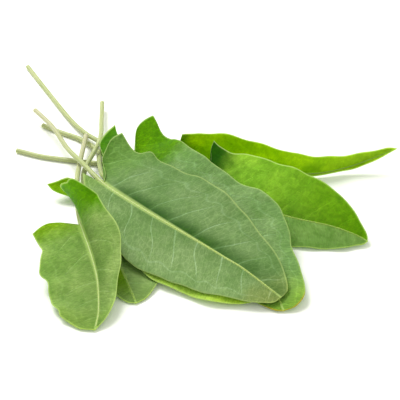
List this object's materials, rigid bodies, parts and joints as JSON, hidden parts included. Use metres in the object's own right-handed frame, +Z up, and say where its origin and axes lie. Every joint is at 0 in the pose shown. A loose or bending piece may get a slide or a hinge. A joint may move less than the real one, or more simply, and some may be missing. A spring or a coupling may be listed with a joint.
{
  "type": "bunch of sorrel leaves",
  "caption": "Bunch of picked, arrow-shaped sorrel leaves lying flat in a loose fan, each with its pale stalk and midrib.",
  "frame": {"origin": "on the surface that the bunch lies on, below the middle of its bounding box", "axes": "+Z up from the surface, +X towards the tip of the far leaf, -Y towards the tips of the front leaves, and the stalks to -X and +Y"},
  "size_m": [0.2322, 0.2516, 0.0329],
  "materials": {
    "leaf_green": "soft satin leaf surface, pale veins",
    "leaf_bright": "soft satin leaf surface lit through, pale veins"
  },
  "bodies": {
    "root": {"leaf_front": "leaf_green", "leaf_behind": "leaf_green", "leaf_right": "leaf_bright", "leaf_far": "leaf_bright", "leaf_small": "leaf_green", "leaf_low": "leaf_green", "leaf_under": "leaf_green"}
  },
  "joints": []
}
